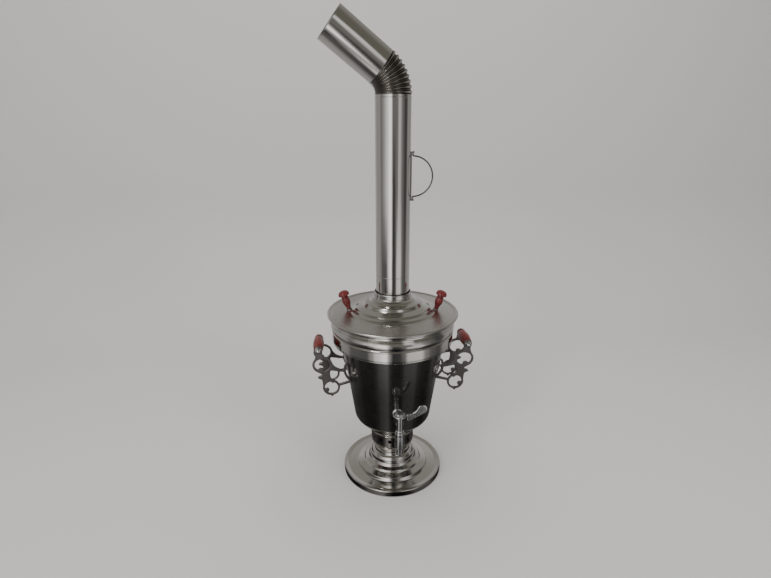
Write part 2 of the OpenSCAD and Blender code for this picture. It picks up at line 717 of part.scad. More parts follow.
module arm_outline() {
    w = bar_w;
    difference() {
        union() {
            polygon(oval(ring1, ring1_w, ring1_h));
            translate(ring2) circle(r = ring2_r);
            // waist between the loops, with its outward leaf and the web to the foot
            polygon(concat(
                curve(ring1 + [-20.5, -4], ring1 + [-15, -18], ring1 + [-14, -24],
                      ring2 + [-2, 17], 8),
                curve(ring2 + [17.8, 4], ring1 + [2, -46], ring1 + [0, -37], ring1 + [4, -34], 6),
                curve(ring1 + [9.5, -32.5], ring1 + [14, -30], ring1 + [9, -26],
                      ring1 + [3, -25.4], 8),
                curve(ring1 + [1, -23], ring1 + [4, -20], ring1 + [10, -18],
                      ring1 + [16, -10], 8)));
        }
        polygon(oval(ring1, ring1_w - 2 * w, ring1_h - 2 * w));
        translate(ring2) circle(r = ring2_r - w + 0.6);
    }
    // leaf and curl inside the loops
    polygon(oval(ring1 + [3.6, -11.4], 13, 8.6, 24));
    translate(ring2 + [9.6, -5.6]) circle(r = 4.9, $fn = 32);
    translate(ring2 + [-4, ring2_r - 3.6]) circle(r = 4.2, $fn = 32);
    translate(ring2 + [-1.6, -ring2_r - 0.6]) circle(r = 2.4, $fn = 24);
    // eye for the grip's rod, on a neck that grows out of the upper loop
    translate([grip_reach, grip_z]) circle(r = eye_r, $fn = 48);
    polygon(backwards(concat(
        curve([grip_reach + eye_r - 1.6, grip_z - 2], [grip_reach + 5, grip_z - 13],
              ring1 + [14, 19], ring1 + [20.4, 4], 10),
        [ring1 + [16.4, 8.8], ring1 + [13.4, 12], ring1 + [8, 15.4], ring1 + [2, 17]],
        curve(ring1 + [-4, ring1_h / 2 - 1], ring1 + [-2, ring1_h / 2 + 2],
              [grip_reach - 9, grip_z - 12], [grip_reach - eye_r + 1.6, grip_z - 1], 8))));
    // web that draws in from the upper loop to the fork on the foot
    polygon(concat(
        curve(ring1 + [-20, 7], ring1 + [-23, -5], fork + [14, 3], fork + [0, 2.6], 10),
        curve(fork + [0, -2.6], fork + [12, -3], ring1 + [-26, -14], ring1 + [-15, -14], 10)));
    // C-shaped foot on the tank, and the tie from its lower end to the lower loop
    lower = curve(fork, fork + [0.4, -10], foot_low + [8, 10], foot_low + [1, 2], 8);
    bar(concat(curve(foot_up, foot_up + [7, -1], fork + [-0.6, 8], fork, 8),
               [for (i = [1:8]) lower[i]]), w, w);
    bar([foot_low + [-1, 0.6], foot_low + [8, -2], ring2 + [-ring2_r + 2, 5]], w + 1, w);
}

module place_side(side) {
    if (side > 0) children();
    else mirror([1, 0, 0]) children();
}

module arm(side, row) {
    color(dark_iron) place_side(side) difference() {
        translate([0, row * arm_gap / 2 + arm_t / 2, 0]) rotate([90, 0, 0])
            linear_extrude(arm_t) arm_outline();
        tank_cone(0);
        back_plate_solid(1);
        translate([grip_reach, 0, grip_z]) rotate([90, 0, 0])
            cylinder(d = rod_d + 0.1, h = 3 * arm_gap, center = true);
    }
}

// Back plate: an oval of sheet wrapped on the tank. With grow it also fills its own inside.
module back_plate_solid(grow = 0) {
    w = plate_w;
    intersection() {
        difference() {
            tank_cone(plate_t);
            if (grow == 0) tank_cone(0.02);
        }
        translate([60, 0, plate_z]) rotate([0, 90, 0]) union() {
            translate([0, 0, 30]) cube([plate_h, w - plate_h, 60], center = true);
            for (s = [-1, 1]) translate([0, s * (w - plate_h) / 2, 0]) cylinder(d = plate_h, h = 60);
        }
    }
}

module handle_plate(side) {
    color(steel) difference() {
        place_side(side) back_plate_solid();
        at_rivets() cylinder(d = rivet_d, h = 20, center = true);
    }
}

// Barrel grip with turned rings near its ends.
module grip(side) {
    r = grip_d / 2;
    l = grip_len;
    color(red) place_side(side) translate([grip_reach, l / 2, grip_z]) rotate([90, 0, 0])
        rotate_extrude() polygon(concat(
            [[rod_d / 2 + 0.05, 0.1], [r - 3.6, 0.1], [r - 2.8, 1], [r - 2.8, 2.4], [r - 3.6, 3]],
            arc([r - 3, 4.6], 1.2, -60, 60, 5),
            [[r - 3.5, 6.2]],
            [for (i = [0:10]) let (t = i / 10)
                [r - 2.2 * pow(2 * t - 1, 2), 7 + (l - 14) * t]],
            [[r - 3.5, l - 6.2]],
            arc([r - 3, l - 4.6], 1.2, -60, 60, 5),
            [[r - 3.6, l - 3], [r - 2.8, l - 2.4], [r - 2.8, l - 1], [r - 3.6, l - 0.1],
             [rod_d / 2 + 0.05, l - 0.1]]));
}

// Rod through the grip and both eyes, with a domed nut at each end.
module grip_rod(side) {
    half = arm_gap / 2 + arm_t / 2;
    color(steel) place_side(side) translate([grip_reach, 0, grip_z]) rotate([90, 0, 0]) {
        cylinder(d = rod_d, h = 2 * half, center = true);
        for (s = [0, 1]) mirror([0, 0, s]) translate([0, 0, half]) rotate_extrude()
            polygon(concat([[0, 0], [6.6, 0], [6.6, 1.6], [6, 1.8]], arc([0, 1.8], 6, 0, 90, 8)));
    }
}

rivet_d = 4;                                 // shank of a back plate's rivet

// Frames of the four rivets, square to the tank, on the tank's outer face.
module at_rivets() {
    a = asin((plate_w / 2 - 8) / tank_radius(plate_z));
    for (side = [0, 180]) for (s = [-1, 1]) rotate([0, 0, side + s * a])
        translate([tank_radius(plate_z), 0, plate_z]) rotate([0, 90 + tank_lean, 0]) children();
}

// Domed rivets through each back plate and the tank's wall.
module handle_rivets() {
    w = tank_wall;
    t = plate_t;
    color(steel) at_rivets() rotate_extrude() polygon(concat(
        [[0, -w - 1.2], [3, -w - 1.2], [3, -w - 0.1], [rivet_d / 2, -w - 0.1],
         [rivet_d / 2, t + 0.1]], arc([0, t + 0.1], 3.6, 0, 90, 6)));
}

base_plate();
air_ring();
fire_grate();
fire_tube();
tank_floor();
tank_shell();
shoulder_band();
lid();
lid_collar();
lid_inner_ring();
lid_knob(-1);  // lid_knob_left
lid_knob(1);  // lid_knob_right
knob_seat(-1);  // knob_seat_left
knob_seat(1);  // knob_seat_right
knob_screws();
chimney_pipe();
bail_strap();
bail_wire();
elbow_neck();
elbow();
upper_pipe();
tap_shank();
tap_flange();
tap_gasket();
tap_lock_nut();
tap_body();
tap_plug();
tap_lever();
tap_cap_nut();
spout_sleeve();
handle_plate(-1);  // handle_plate_left
handle_plate(1);  // handle_plate_right
arm(-1, -1);  // arm_front_left
arm(-1, 1);  // arm_rear_left
arm(1, -1);  // arm_front_right
arm(1, 1);  // arm_rear_right
grip(-1);  // grip_left
grip(1);  // grip_right
grip_rod(-1);  // grip_rod_left
grip_rod(1);  // grip_rod_right
handle_rivets();
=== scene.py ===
"""Charcoal samovar: materials, finer pieces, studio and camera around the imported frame."""

from math import cos, pi, radians, sin

import bpy
from mathutils import Matrix, Vector


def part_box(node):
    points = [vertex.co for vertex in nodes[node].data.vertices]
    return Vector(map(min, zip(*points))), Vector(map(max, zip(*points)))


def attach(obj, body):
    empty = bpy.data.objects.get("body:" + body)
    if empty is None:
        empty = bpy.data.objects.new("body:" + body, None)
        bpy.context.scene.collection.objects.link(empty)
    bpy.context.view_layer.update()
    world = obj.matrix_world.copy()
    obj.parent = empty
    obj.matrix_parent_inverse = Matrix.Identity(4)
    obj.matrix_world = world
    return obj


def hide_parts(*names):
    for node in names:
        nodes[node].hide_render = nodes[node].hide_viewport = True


MM = 0.001

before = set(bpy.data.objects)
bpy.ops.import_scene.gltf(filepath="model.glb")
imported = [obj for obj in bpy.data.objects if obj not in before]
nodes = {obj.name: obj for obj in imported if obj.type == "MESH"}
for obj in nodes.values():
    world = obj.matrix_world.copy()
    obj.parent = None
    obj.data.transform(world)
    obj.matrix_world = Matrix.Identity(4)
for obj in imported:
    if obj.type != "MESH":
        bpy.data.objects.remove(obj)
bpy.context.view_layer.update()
scene = bpy.context.scene


# ---- camera ------------------------------------------------------------------------------------

# The object's frame is turned a little on the table, so that the camera stands left of the tap.
TURN = radians(5.7)
ROLL = 0.00216
PITCH = radians(19.18)
FRAME_WIDTH = 771              # pixels
FOCAL = 488.9 / FRAME_WIDTH    # focal length as a share of the frame's width
SHIFT_UP = 5.8 / FRAME_WIDTH
SENSOR_WIDTH = 36              # mm
CAMERA_AT = Vector((-0.0152, -0.9875, 0.7773))


def make_camera():
    data = bpy.data.cameras.new("camera")
    data.sensor_width = SENSOR_WIDTH
    data.lens = SENSOR_WIDTH * FOCAL
    data.shift_y = SHIFT_UP
    data.clip_end = 50
    turn = Matrix.Rotation(-TURN, 3, "Z")
    ahead = turn @ Vector((0, cos(PITCH), -sin(PITCH)))
    up = turn @ Vector((0, sin(PITCH), cos(PITCH)))
    right = turn @ Vector((1, 0, 0))
    across, over = right - ROLL * up, up + ROLL * right
    spin = Matrix((across, over, -ahead)).transposed().to_4x4()
    camera = bpy.data.objects.new("camera", data)
    camera.matrix_world = Matrix.Translation(turn @ CAMERA_AT) @ spin
    scene.collection.objects.link(camera)
    scene.camera = camera


make_camera()


# ---- node graphs -------------------------------------------------------------------------------


class Graph:
    """A small helper round one material's nodes."""

    def __init__(self, name):
        self.material = bpy.data.materials.new(name)
        self.material.use_nodes = True
        self.tree = self.material.node_tree
        self.shader = self.tree.nodes["Principled BSDF"]
        self.place = self.add("TexCoord").outputs["Object"]

    def add(self, kind, **settings):
        made = self.tree.nodes.new("ShaderNode" + kind)
        for key, value in settings.items():
            setattr(made, key, value)
        return made

    def put(self, socket, value):
        if isinstance(value, bpy.types.NodeSocket):
            self.tree.links.new(value, socket)
        else:
            socket.default_value = value

    def math(self, operation, *values, clamp=False):
        made = self.add("Math", operation=operation, use_clamp=clamp)
        for socket, value in zip(made.inputs, values):
            self.put(socket, value)
        return made.outputs[0]

    def length(self, x, y):
        """Distance of (x, y) from the origin."""
        return self.math("SQRT", self.math("ADD", self.math("MULTIPLY", x, x),
                                           self.math("MULTIPLY", y, y)))

    def away(self, value, middle):
        """How far a value lies from the middle, to either side."""
        return self.math("ABSOLUTE", self.math("SUBTRACT", value, middle))

    def split(self, vector):
        made = self.add("SeparateXYZ")
        self.put(made.inputs[0], vector)
        return made.outputs

    def join(self, x, y, z):
        made = self.add("CombineXYZ")
        for socket, value in zip(made.inputs, (x, y, z)):
            self.put(socket, value)
        return made.outputs[0]

    def stretched(self, sx, sy, sz):
        made = self.add("Mapping")
        self.put(made.inputs["Vector"], self.place)
        made.inputs["Scale"].default_value = (sx, sy, sz)
        return made.outputs[0]

    def noise(self, vector, scale=1.0, detail=2.0, roughness=0.5):
        made = self.add("TexNoise")
        self.put(made.inputs["Vector"], vector)
        made.inputs["Scale"].default_value = scale
        made.inputs["Detail"].default_value = detail
        made.inputs["Roughness"].default_value = roughness
        return made.outputs["Fac"]

    def span(self, value, low, high, to_low=0.0, to_high=1.0):
        made = self.add("MapRange")
        for socket, number in zip(made.inputs, (value, low, high, to_low, to_high)):
            self.put(socket, number)
        return made.outputs[0]

    def mix(self, share, first, second):
        made = self.add("Mix", data_type="RGBA")
        self.put(made.inputs[0], share)
        for socket, colour in zip(made.inputs[6:8], (first, second)):
            self.put(socket, (*colour, 1) if isinstance(colour, tuple) else colour)
        return made.outputs[2]

    def rounded(self, radius):
        """Normals that round the sharp edges off, as polishing or paint does."""
        made = self.add("Bevel", samples=4)
        made.inputs["Radius"].default_value = radius
        return made.outputs[0]

    def bump(self, height, depth, under=None):
        made = self.add("Bump")
        made.inputs["Strength"].default_value = 1.0
        made.inputs["Distance"].default_value = depth
        self.put(made.inputs["Height"], height)
        if under is not None:
            self.put(made.inputs["Normal"], under)
        return made.outputs[0]

    def set(self, **values):
        for key, value in values.items():
            if isinstance(value, tuple):
                value = (*value, 1)
            self.put(self.shader.inputs[key.replace("_", " ")], value)
        return self.material

    def lathe_place(self):
        """(distance from the samovar's axis, height), for marks left by spinning."""
        x, y, z = self.split(self.place)
        return self.length(x, y), z


# ---- sizes of the elbow and its pipes ----------------------------------------------------------

PIPE_R = 35 * MM
PIPE_WALL = 1 * MM
PIPE_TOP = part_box("chimney_pipe")[1].z
BEND_START = PIPE_TOP + 3 * MM   # height at which the bend begins
ELBOW_TURN = radians(7.3)        # the elbow is turned this far about the pipe
ELBOW_BEND = radians(53)
ELBOW_R = 60.5 * MM              # radius of the bend's middle line
UPPER_LEN = 116 * MM
PLEATS = 9


# ---- materials ---------------------------------------------------------------------------------

STEEL = (0.63, 0.61, 0.585)
DULL_STEEL = (0.55, 0.53, 0.505)
BRIGHT_STEEL = (0.66, 0.64, 0.615)
CHROME_COLOUR = (0.74, 0.74, 0.745)
SATIN_COLOUR = (0.80, 0.80, 0.81)
SATIN_BLEND = 0.02               # metres over which the brushed part fades in
SATIN_ROUGHER = 0.14


def spun_steel(name, rough_low, rough_high, wave, ring, satin_from=None):
    """Spun, polished sheet: fine turning rings, handling marks and a slightly wavy face.

    Outside the radius satin_from the sheet is brushed to a softer shine.
    """
    g = Graph(name)
    reach, z = g.lathe_place()
    rings = g.noise(g.join(g.math("MULTIPLY", reach, 700), g.math("MULTIPLY", z, 700), 0),
                    detail=3, roughness=0.65)
    wide_rings = g.noise(g.join(g.math("MULTIPLY", reach, 90), g.math("MULTIPLY", z, 90), 0.4),
                         detail=1)
    marks = g.noise(g.place, 14, 4, 0.6)
    specks = g.noise(g.place, 160, 3, 0.7)
    haze = g.math("ADD", g.math("MULTIPLY", marks, 0.7), g.math("MULTIPLY", rings, 0.3))
    waves = g.bump(g.noise(g.place, 22, 1), wave)
    turned = g.bump(g.math("ADD", rings, g.math("MULTIPLY", wide_rings, 3)), ring, waves)
    tone = g.math("MULTIPLY", g.span(specks, 0.56, 0.72), 0.35)
    rough = g.span(haze, 0.35, 0.65, rough_low, rough_high)
    if satin_from:
        rough = g.math("ADD", rough, g.span(reach, satin_from, satin_from + SATIN_BLEND,
                                            0.0, SATIN_ROUGHER))
    return g.set(Metallic=1.0, Base_Color=g.mix(tone, STEEL, DULL_STEEL), Roughness=rough,
                 Normal=turned)


def rolled_steel(name, rough_low, rough_high, wave, axis_scale):
    """Rolled sheet bent to a pipe: faint lengthwise lines and soft flats."""
    g = Graph(name)
    lines = g.noise(g.stretched(*axis_scale), 1, 3, 0.6)
    marks = g.noise(g.place, 17, 4, 0.6)
    waves = g.bump(g.noise(g.place, 16, 1), wave)
    lined = g.bump(lines, 0.000008, waves)
    haze = g.math("ADD", g.math("MULTIPLY", marks, 0.65), g.math("MULTIPLY", lines, 0.35))
    tone = g.math("MULTIPLY", g.span(g.noise(g.place, 130, 3, 0.7), 0.58, 0.74), 0.3)
    return g.set(Metallic=1.0, Base_Color=g.mix(tone, STEEL, DULL_STEEL),
                 Roughness=g.span(haze, 0.35, 0.65, rough_low, rough_high), Normal=lined)


def chrome(name, rough_low, rough_high, colour):
    """Chrome plate over a cast and filed body: bright, with a soft ripple."""
    g = Graph(name)
    marks = g.noise(g.place, 60, 4, 0.6)
    ripple = g.bump(g.noise(g.place, 90, 2), 0.00006, g.rounded(0.0004))
    worn = g.span(g.noise(g.place, 420, 3, 0.7), 0.6, 0.75)
    return g.set(Metallic=1.0, Base_Color=g.mix(g.math("MULTIPLY", worn, 0.4), colour,
                                                (0.46, 0.45, 0.44)),
                 Roughness=g.span(marks, 0.35, 0.65, rough_low, rough_high), Normal=ripple)


def enamel():
    """Black enamel: deep gloss over steel, with a fine orange peel and dust in the gloss."""
    g = Graph("black_enamel_look")
    peel = g.bump(g.noise(g.place, 420, 2), 0.000004,
                  g.bump(g.noise(g.place, 12, 1), 0.0002))
    dust = g.noise(g.place, 55, 5, 0.65)
    return g.set(Base_Color=g.mix(g.span(dust, 0.4, 0.75), (0.0075, 0.0066, 0.006),
                                  (0.014, 0.0125, 0.0115)),
                 Roughness=g.span(dust, 0.35, 0.7, 0.26, 0.36), Normal=peel,
                 Coat_Weight=1.0, Coat_Roughness=0.03, Coat_IOR=1.8, Coat_Normal=peel)


def red_wood(name, grain_scale, light, dark, coat, rings=0.0):
    """Turned wood, stained red and lacquered: the grain shows through as darker streaks.

    With rings, darker lines run round the piece at that distance along Y.
    """
    g = Graph(name)
    grain = g.noise(g.stretched(*grain_scale), 1, 5, 0.62)
    pores = g.noise(g.stretched(*(4.5 * s for s in grain_scale)), 1, 3, 0.7)
    share = g.math("ADD", g.span(grain, 0.38, 0.68, 0, 0.75), g.span(pores, 0.6, 0.75, 0, 0.25),
                   clamp=True)
    if rings:
        along = g.math("ADD", g.math("MULTIPLY", g.split(g.place)[1], 1 / rings),
                       g.math("MULTIPLY", grain, 0.12))
        line = g.away(g.math("FRACT", along), 0.5)
        share = g.math("ADD", share, g.span(line, 0.02, 0.11, 0.9, 0.0), clamp=True)
    fine = g.bump(pores, 0.00004, g.bump(grain, 0.00008, g.rounded(0.0005)))
    return g.set(Base_Color=g.mix(share, light, dark), Roughness=g.span(grain, 0.3, 0.7, 0.34, 0.5),
                 Coat_Weight=coat, Coat_Roughness=0.16, Normal=fine)


def casting(name, colour, worn, rough, metallic, bump):
    """Plated casting: dark in its hollows and rubbed lighter along its edges."""
    g = Graph(name)
    grit = g.noise(g.place, 260, 4, 0.65)
    cloud = g.noise(g.place, 35, 4, 0.6)
    point = g.add("NewGeometry").outputs["Pointiness"]
    edge = g.span(g.math("ADD", point, g.math("MULTIPLY", cloud, 0.05)), 0.53, 0.62)
    return g.set(Metallic=metallic, Base_Color=g.mix(edge, colour, worn),
                 Roughness=g.span(cloud, 0.35, 0.65, rough - 0.07, rough + 0.08),
                 Normal=g.bump(grit, bump))


def crimped_steel():
    """Sheet pressed into pleats: bright steel along the crests, with painted shade darkening the
    valleys.
    """
    g = Graph("crimped_steel")
    x, y, z = g.split(g.place)
    out = g.math("ADD", g.math("MULTIPLY", x, cos(ELBOW_TURN)),
                 g.math("MULTIPLY", y, sin(ELBOW_TURN)))
    rise = g.math("SUBTRACT", z, BEND_START)
    run = g.math("ADD", out, ELBOW_R)
    turn = g.math("MULTIPLY", g.math("ARCTAN2", rise, run), PLEATS / ELBOW_BEND)
    wobble = g.math("MULTIPLY", g.math("SUBTRACT", g.noise(g.place, 60, 2), 0.5), 0.12)
    phase = g.math("FRACT", g.math("ADD", turn, wobble))
    off = g.math("MULTIPLY", g.away(phase, 0.5), 2)          # 0 on a crest, 1 in a valley
    inside = g.span(g.length(rise, run), 0.028, 0.068, 0.30, 0.0)
    crest = g.span(g.math("SUBTRACT", off, inside), 0.12, 0.46, 1.0, 0.0)
    # Painted shade: the valleys are coloured dark brown-grey, a little lighter along their floor,
    # and only the crests keep the steel's colour.
    valley_shade = g.mix(g.span(off, 0.78, 0.98), (0.10, 0.085, 0.075), (0.20, 0.18, 0.165))
    stain = g.span(g.noise(g.place, 45, 4, 0.6), 0.3, 0.7, 0.75, 1.0)
    waves = g.bump(g.noise(g.place, 40, 1), 0.0002)
    colour = g.mix(g.math("MULTIPLY", crest, stain), valley_shade, BRIGHT_STEEL)
    return g.set(Metallic=1.0, Base_Color=colour, Roughness=g.span(crest, 0, 1, 0.36, 0.16),
                 Normal=g.bump(g.noise(g.place, 320, 3, 0.6), 0.00001, waves))


def rubber():
    """Black rubber, matt and a little grainy."""
    g = Graph("gasket_look")
    grit = g.noise(g.place, 500, 3, 0.6)
    return g.set(Base_Color=g.mix(grit, (0.02, 0.02, 0.02), (0.05, 0.05, 0.048)), Roughness=0.75,
                 Normal=g.bump(grit, 0.00005))


def soot():
    """The pipe's inside: steel under a dull brown-grey film of smoke."""
    g = Graph("smoked_steel")
    cloud = g.noise(g.place, 40, 5, 0.65)
    return g.set(Metallic=g.span(cloud, 0.35, 0.65, 0.75, 0.35),
                 Base_Color=g.mix(cloud, (0.09, 0.08, 0.07), (0.03, 0.026, 0.023)),
                 Roughness=g.span(cloud, 0.3, 0.7, 0.38, 0.6), Normal=g.bump(cloud, 0.0003))


BAND = spun_steel("band_steel", 0.045, 0.10, 0.0003, 0.000005)
LID = spun_steel("lid_steel", 0.12, 0.20, 0.00025, 0.00001, satin_from=0.084)
FOOT = spun_steel("foot_steel", 0.08, 0.16, 0.0003, 0.00001)
PIPE = rolled_steel("pipe_steel", 0.05, 0.11, 0.0004, (900, 900, 9))
TOP_PIPE = rolled_steel("upper_pipe_steel", 0.09, 0.15, 0.0003, (60, 900, 60))
ELBOW = crimped_steel()
CHROME = chrome("chrome_look", 0.10, 0.20, CHROME_COLOUR)
SATIN = chrome("satin_chrome_look", 0.20, 0.31, SATIN_COLOUR)
ENAMEL = enamel()
KNOB = red_wood("knob_wood", (260, 260, 34), (0.19, 0.014, 0.016), (0.07, 0.006, 0.007), 0.55)
GRIP = red_wood("grip_wood", (240, 30, 240), (0.25, 0.022, 0.018), (0.09, 0.008, 0.007), 0.3,
                rings=10 * MM)
CASTING = casting("casting_look", (0.16, 0.145, 0.138), (0.40, 0.38, 0.36), 0.38, 1.0, 0.0001)
DARK_STEEL = casting("dark_steel_look", (0.12, 0.11, 0.105), (0.3, 0.29, 0.28), 0.36, 0.95,
                     0.00003)
GRATE = casting("grate_look", (0.035, 0.032, 0.03), (0.09, 0.08, 0.07), 0.6, 0.6, 0.0004)
GASKET = rubber()
SOOT = soot()

# The handle arms are castings, and every piece not named here is chrome.
LOOKS = {
    "base_plate": FOOT, "air_ring": FOOT, "fire_grate": GRATE, "fire_tube": PIPE,
    "tank_floor": ENAMEL, "tank_shell": ENAMEL, "shoulder_band": BAND, "lid": LID,
    "lid_collar": LID, "lid_inner_ring": LID, "lid_knob_left": KNOB, "lid_knob_right": KNOB,
    "knob_seat_left": DARK_STEEL, "knob_seat_right": DARK_STEEL, "chimney_pipe": PIPE,
    "bail_strap": DARK_STEEL, "bail_wire": DARK_STEEL, "elbow_neck": PIPE, "elbow": ELBOW,
    "upper_pipe": TOP_PIPE, "tap_gasket": GASKET, "tap_cap_nut": SATIN, "spout_sleeve": SATIN,
    "handle_plate_left": BAND, "handle_plate_right": BAND, "handle_rivets": BAND,
    "grip_left": GRIP, "grip_right": GRIP,
}

for name, obj in nodes.items():
    obj.data.materials.clear()
    obj.data.materials.append(LOOKS.get(name, CASTING if name.startswith("arm_") else CHROME))


# ---- finer pieces ------------------------------------------------------------------------------


def add_piece(name, mesh, body, replaced):
    """Put a finer mesh in the place of solids, on their body."""
    obj = bpy.data.objects.new(name, mesh)
    scene.collection.objects.link(obj)
    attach(obj, body)
    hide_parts(*replaced)


def soften(name, source, body, material, voxel, rounds):
    """A copy of a solid with its hard edges rounded, as a casting or a polished part has them."""
    obj = bpy.data.objects.new(name, nodes[source].data.copy())
    scene.collection.objects.link(obj)
    remesh = obj.modifiers.new("remesh", "REMESH")
    remesh.mode = "VOXEL"
    remesh.voxel_size = voxel
    smooth = obj.modifiers.new("smooth", "SMOOTH")
    smooth.factor = 0.5
    smooth.iterations = rounds
    graph = bpy.context.evaluated_depsgraph_get()
    mesh = bpy.data.meshes.new_from_object(obj.evaluated_get(graph))
    bpy.data.objects.remove(obj)
    mesh.name = name
    mesh.materials.clear()
    mesh.materials.append(material)
    mesh.polygons.foreach_set("use_smooth", [True] * len(mesh.polygons))
    add_piece(name, mesh, body, [source])


def sheet_tube(name, outer, inner, material):
    """A tube on the elbow's body: rings of points up its outside and back down its sooty inside."""
    rings = outer + inner
    count, sides = len(rings), len(rings[0])
    faces = [(i * sides + k, i * sides + (k + 1) % sides,
              (i + 1) % count * sides + (k + 1) % sides, (i + 1) % count * sides + k)
             for i in range(count) for k in range(sides)]
    mesh = bpy.data.meshes.new(name)
    mesh.from_pydata([p for ring in rings for p in ring], [], faces)
    mesh.materials.append(material)
    mesh.materials.append(SOOT)
    mesh.polygons.foreach_set("use_smooth", [True] * len(mesh.polygons))
    for face in mesh.polygons:
        face.material_index = 1 if min(face.vertices) >= len(outer) * sides else 0
    mesh.update()
    return mesh


# The elbow's own frame: the centre of its bend lies at -X, and the bend starts straight up.
at_elbow = Matrix.Translation((0, 0, BEND_START)) @ Matrix.Rotation(ELBOW_TURN, 4, "Z")


CREST_RISE = 1.4                 # mm above the pipe's face
VALLEY_DROP = 1.8                # mm below it
FOLD_RISE = 0.6                  # mm, of the small fold down the middle of each valley
RINGS_PER_PLEAT = 16


def pleat(t, side):
    """Height of the wall, in mm, at t pleats along a bend; side is 1 on its outside, -1 inside."""
    u = abs((t % 1.0) - 0.5) * 2
    outward = max(0.0, side)
    crest = max(0.0, 1 - u / (0.36 + 0.34 * outward)) ** (1 - 0.4 * outward)
    fold = FOLD_RISE * max(0.0, 1 - (1 - u) / 0.3) * (1 - outward)
    return CREST_RISE * crest - VALLEY_DROP * (1 - crest) * min(1, u + 0.3) + fold


def make_elbow():
    """The crimped elbow: nine pressed pleats, no two quite alike, that fade out at its ends."""
    sides, total = 144, PLEATS * RINGS_PER_PLEAT

    def ring(i, radius, uneven):
        t, bend = i / RINGS_PER_PLEAT, ELBOW_BEND * i / total
        fade = min(1, i / 4, (total - i) / 4)
        points = []
        for k in range(sides):
            a = 2 * pi * k / sides
            lift = pleat(t, cos(a)) + uneven * (0.06 * sin(3 * a + 2.1 * int(t))
                                                + 0.042 * sin(7 * a + 1.3 * int(t)))
            r = radius + MM * fade * lift
            x = r * cos(a)
            points.append(at_elbow @ Vector((-ELBOW_R + (ELBOW_R + x) * cos(bend), r * sin(a),
                                             (ELBOW_R + x) * sin(bend))))
        return points

    outer = [ring(i, PIPE_R, 1) for i in range(total + 1)]
    inner = [ring(i, PIPE_R - PIPE_WALL, 0) for i in range(total, -1, -1)]
    mesh = sheet_tube("crimped_elbow", outer, inner, ELBOW)
    add_piece("crimped_elbow", mesh, "elbow", ["elbow"])


def make_upper_pipe():
    """The straight upper pipe, with its rolled edge and a smoked inside."""
    sides, lengths = 160, 12
    inner_r = PIPE_R - PIPE_WALL
    place = (at_elbow @ Matrix.Translation((-ELBOW_R, 0, 0))
             @ Matrix.Rotation(-ELBOW_BEND, 4, "Y") @ Matrix.Translation((ELBOW_R, 0, 0)))

    def rings(line):
        return [[place @ Vector((r * cos(a), r * sin(a), z))
                 for a in (2 * pi * k / sides for k in range(sides))] for r, z in line]

    outer = [(PIPE_R, z * MM) for z in (0, 0.3, 0.8)]
    outer += [(PIPE_R, UPPER_LEN * j / lengths) for j in range(1, lengths)]
    outer += [(PIPE_R, UPPER_LEN - 2.4 * MM)]
    outer += [(PIPE_R + 0.6 * MM * sin(pi * j / 8), UPPER_LEN - 1.6 * MM + 1.2 * MM * j / 8)
              for j in range(9)]
    outer += [(PIPE_R - 0.1 * MM, UPPER_LEN - 0.1 * MM), (PIPE_R - 0.4 * MM, UPPER_LEN)]
    inner = [(inner_r + 0.1 * MM, UPPER_LEN - 0.1 * MM), (inner_r, UPPER_LEN - 0.5 * MM)]
    inner += [(inner_r, UPPER_LEN * j / lengths) for j in range(lengths - 1, -1, -1)]
    mesh = sheet_tube("upper_pipe_sheet", rings(outer), rings(inner), TOP_PIPE)
    add_piece("upper_pipe_sheet", mesh, "elbow", ["upper_pipe"])


make_elbow()
make_upper_pipe()
for row in ("front", "rear"):
    for side in ("left", "right"):
        soften(f"arm_casting_{row}_{side}", f"arm_{row}_{side}", "samovar",
               CASTING, 0.75 * MM, 7)
soften("lever_casting", "tap_lever", "tap_lever", SATIN, 0.45 * MM, 45)


# ---- studio ------------------------------------------------------------------------------------

FLOOR = (0.70, 0.69, 0.675)
FLOOR_FRONT = -4.0
WALL_Y = 1.15                    # the backdrop's upright part, behind the samovar
WALL_TOP = 3.2
CURVE_R = 0.5
CURVE_STEPS = 16
HALF_WIDTH = 4.0


def matte(name, colour):
    """Dull paint."""
    return Graph(name).set(Base_Color=colour, Roughness=0.9, Specular_IOR_Level=0.1)


def stage_object(name, points, faces, material):
    """A smooth mesh that belongs to the studio and not to the samovar."""
    mesh = bpy.data.meshes.new(name)
    mesh.from_pydata(points, [], faces)
    mesh.materials.append(material)
    mesh.polygons.foreach_set("use_smooth", [True] * len(mesh.polygons))
    obj = bpy.data.objects.new(name, mesh)
    scene.collection.objects.link(obj)
    return obj


def make_backdrop():
    """Pale floor that sweeps up into a wall behind the samovar."""
    line = [(FLOOR_FRONT, 0.0), (-1.0, 0.0), (WALL_Y - CURVE_R, 0.0)]
    line += [(WALL_Y - CURVE_R + CURVE_R * sin(a), CURVE_R - CURVE_R * cos(a))
             for a in (pi / 2 * j / CURVE_STEPS for j in range(1, CURVE_STEPS + 1))]
    line += [(WALL_Y, WALL_TOP)]
    points = [(x, y, z) for y, z in line for x in (-HALF_WIDTH, HALF_WIDTH)]
    faces = [(2 * i, 2 * i + 1, 2 * i + 3, 2 * i + 2) for i in range(len(line) - 1)]
    backdrop = stage_object("backdrop", points, faces, matte("backdrop_paint", FLOOR))
    backdrop.visible_glossy = False


